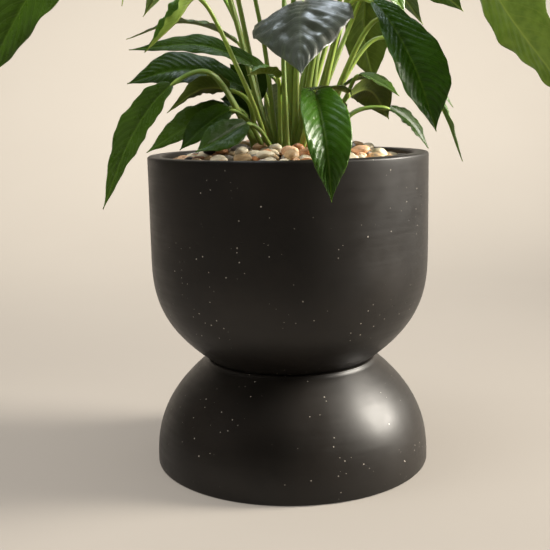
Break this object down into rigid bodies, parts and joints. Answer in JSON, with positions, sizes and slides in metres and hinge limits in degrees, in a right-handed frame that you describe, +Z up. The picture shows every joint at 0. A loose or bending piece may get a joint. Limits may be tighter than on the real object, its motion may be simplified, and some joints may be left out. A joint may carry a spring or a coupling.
{
  "type": "potted peace lily",
  "caption": "Free-standing planter, a round bowl on a hollow dome base, holding soil, a pebble mulch and a leafy peace lily whose blades arch out and hang over the rim.",
  "frame": {"origin": "middle of the base's flat underside, on the planter's axis", "axes": "+Z up along the planter's axis, +X to the right and +Y away from the viewer when the leaf that hangs over the rim faces the front"},
  "size_m": [0.6562, 0.4394, 0.8024],
  "materials": {
    "pot": "satin near-black cast planter with fine pale specks",
    "rubber": "matte black",
    "soil": "rough dark potting mix",
    "crown": "fibrous root knot and stalk bases",
    "pebble_mix": "polished river pebbles in mixed colours",
    "pebble_cream": "smooth cream pebble",
    "pebble_tan": "smooth tan pebble",
    "pebble_rust": "smooth rust-brown pebble",
    "pebble_peach": "smooth peach pebble",
    "pebble_grey": "smooth grey pebble",
    "pebble_black": "smooth black pebble",
    "leaf": "glossy dark green leaf with sunken veins and a paler stalk"
  },
  "bodies": {
    "root": {"pot_bowl": "pot", "pot_base": "pot", "drain_plug": "rubber", "potting_soil": "soil", "root_crown": "crown", "pebble_bed": "pebble_mix", "pebble_01": "pebble_tan", "pebble_02": "pebble_cream", "pebble_03": "pebble_rust", "pebble_04": "pebble_peach", "pebble_05": "pebble_grey", "pebble_06": "pebble_cream", "pebble_07": "pebble_peach", "pebble_08": "pebble_black", "pebble_09": "pebble_cream", "pebble_10": "pebble_tan", "pebble_11": "pebble_grey", "pebble_12": "pebble_cream", "pebble_13": "pebble_rust", "pebble_14": "pebble_cream", "leaf_front_hanging": "leaf", "leaf_front_crinkled": "leaf", "leaf_front_small": "leaf", "leaf_front_curled": "leaf", "leaf_left_hanging": "leaf", "leaf_left_twisted": "leaf", "leaf_left_low": "leaf", "leaf_left_lower": "leaf", "leaf_left_lowest": "leaf", "leaf_left_olive": "leaf", "leaf_left_arched": "leaf", "leaf_left_dark": "leaf", "leaf_left_long": "leaf", "leaf_left_level": "leaf", "leaf_right_glossy": "leaf", "leaf_right_behind": "leaf", "leaf_right_narrow": "leaf", "leaf_right_backlit": "leaf", "leaf_right_arched": "leaf", "leaf_right_under": "leaf", "leaf_right_striped": "leaf", "leaf_right_small": "leaf", "leaf_right_light": "leaf", "leaf_right_top": "leaf", "leaf_right_spreading": "leaf", "leaf_left_spreading": "leaf", "leaf_left_top": "leaf", "leaf_inner_left": "leaf", "leaf_tall_front": "leaf", "leaf_tall_left": "leaf", "leaf_tall_middle": "leaf", "leaf_tall_right": "leaf", "leaf_tall_spreading": "leaf", "leaf_back_tall": "leaf", "leaf_back_right": "leaf", "leaf_back_middle": "leaf", "leaf_back_left": "leaf", "leaf_back_drooping": "leaf", "leaf_back_low_left": "leaf", "leaf_back_low_right": "leaf"}
  },
  "joints": []
}
